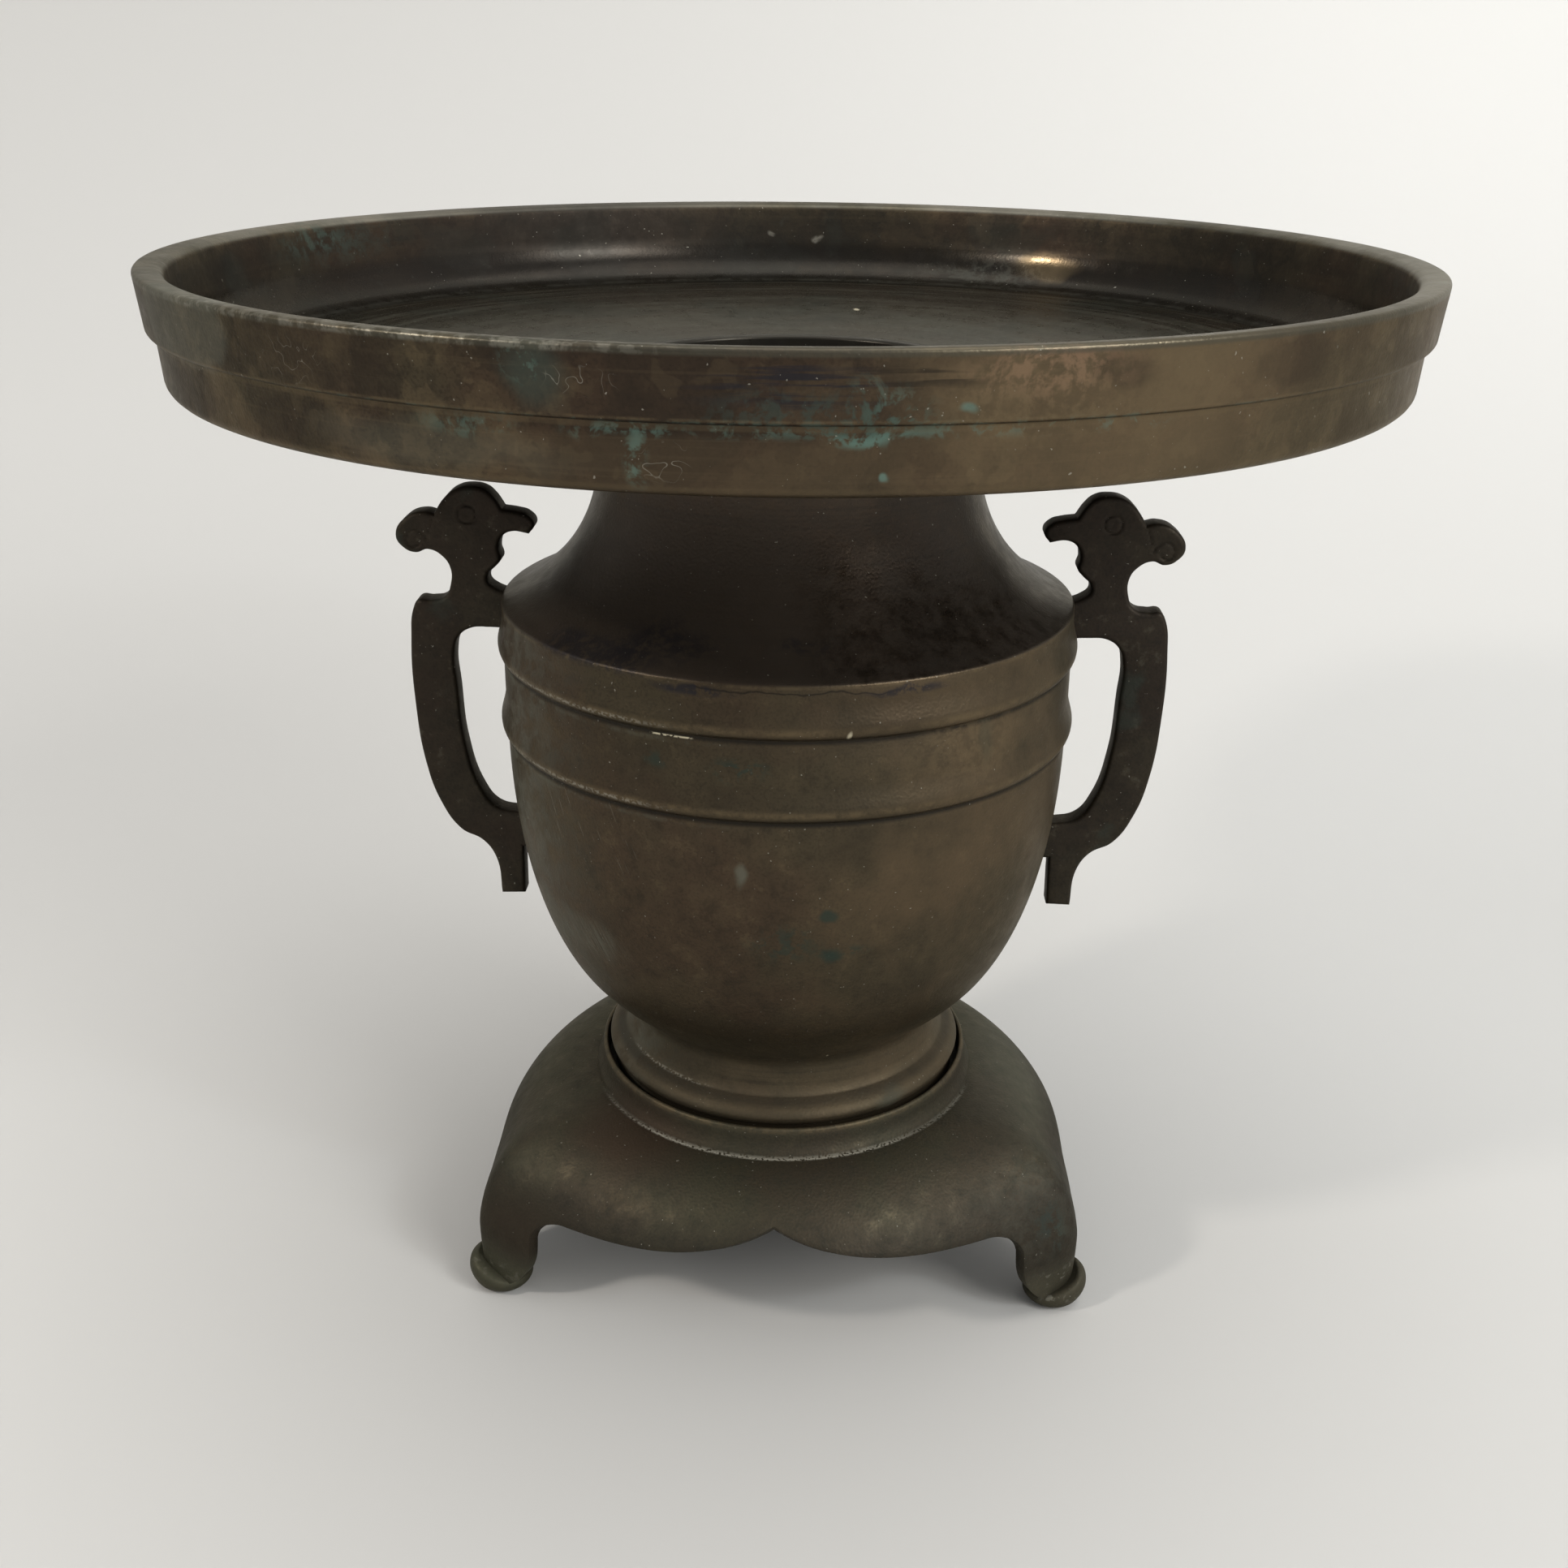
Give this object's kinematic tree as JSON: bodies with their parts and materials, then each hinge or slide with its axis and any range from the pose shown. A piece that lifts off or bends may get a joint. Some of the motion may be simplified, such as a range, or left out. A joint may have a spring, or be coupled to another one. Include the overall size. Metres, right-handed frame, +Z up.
{
  "type": "bronze usubata flower vase",
  "caption": "Bronze usubata: a wide stepped dish on a shouldered vase with side handles shaped as bird heads, standing on a footed cast stand.",
  "frame": {"origin": "on the floor under the axis of the vase, which is the middle of the dish's rim and of the stand", "axes": "+Z up along the axis of the vase; -Y towards the viewer of the picture; the handles lie on -X and +X; one leg points to +Y"},
  "size_m": [0.3, 0.3, 0.271],
  "materials": {
    "bronze_dish": "satin brown patina with grey-green haze and some verdigris at the step",
    "bronze_body": "satin dark olive-brown patina with golden wear on the edges",
    "bronze_handle": "satin dark grey-brown patina",
    "bronze_stand": "satin dark brown patina with grey-green haze"
  },
  "bodies": {
    "root": {"dish": "bronze_dish", "vase_body": "bronze_body", "handle_left": "bronze_handle", "handle_right": "bronze_handle", "stand": "bronze_stand"}
  },
  "joints": []
}
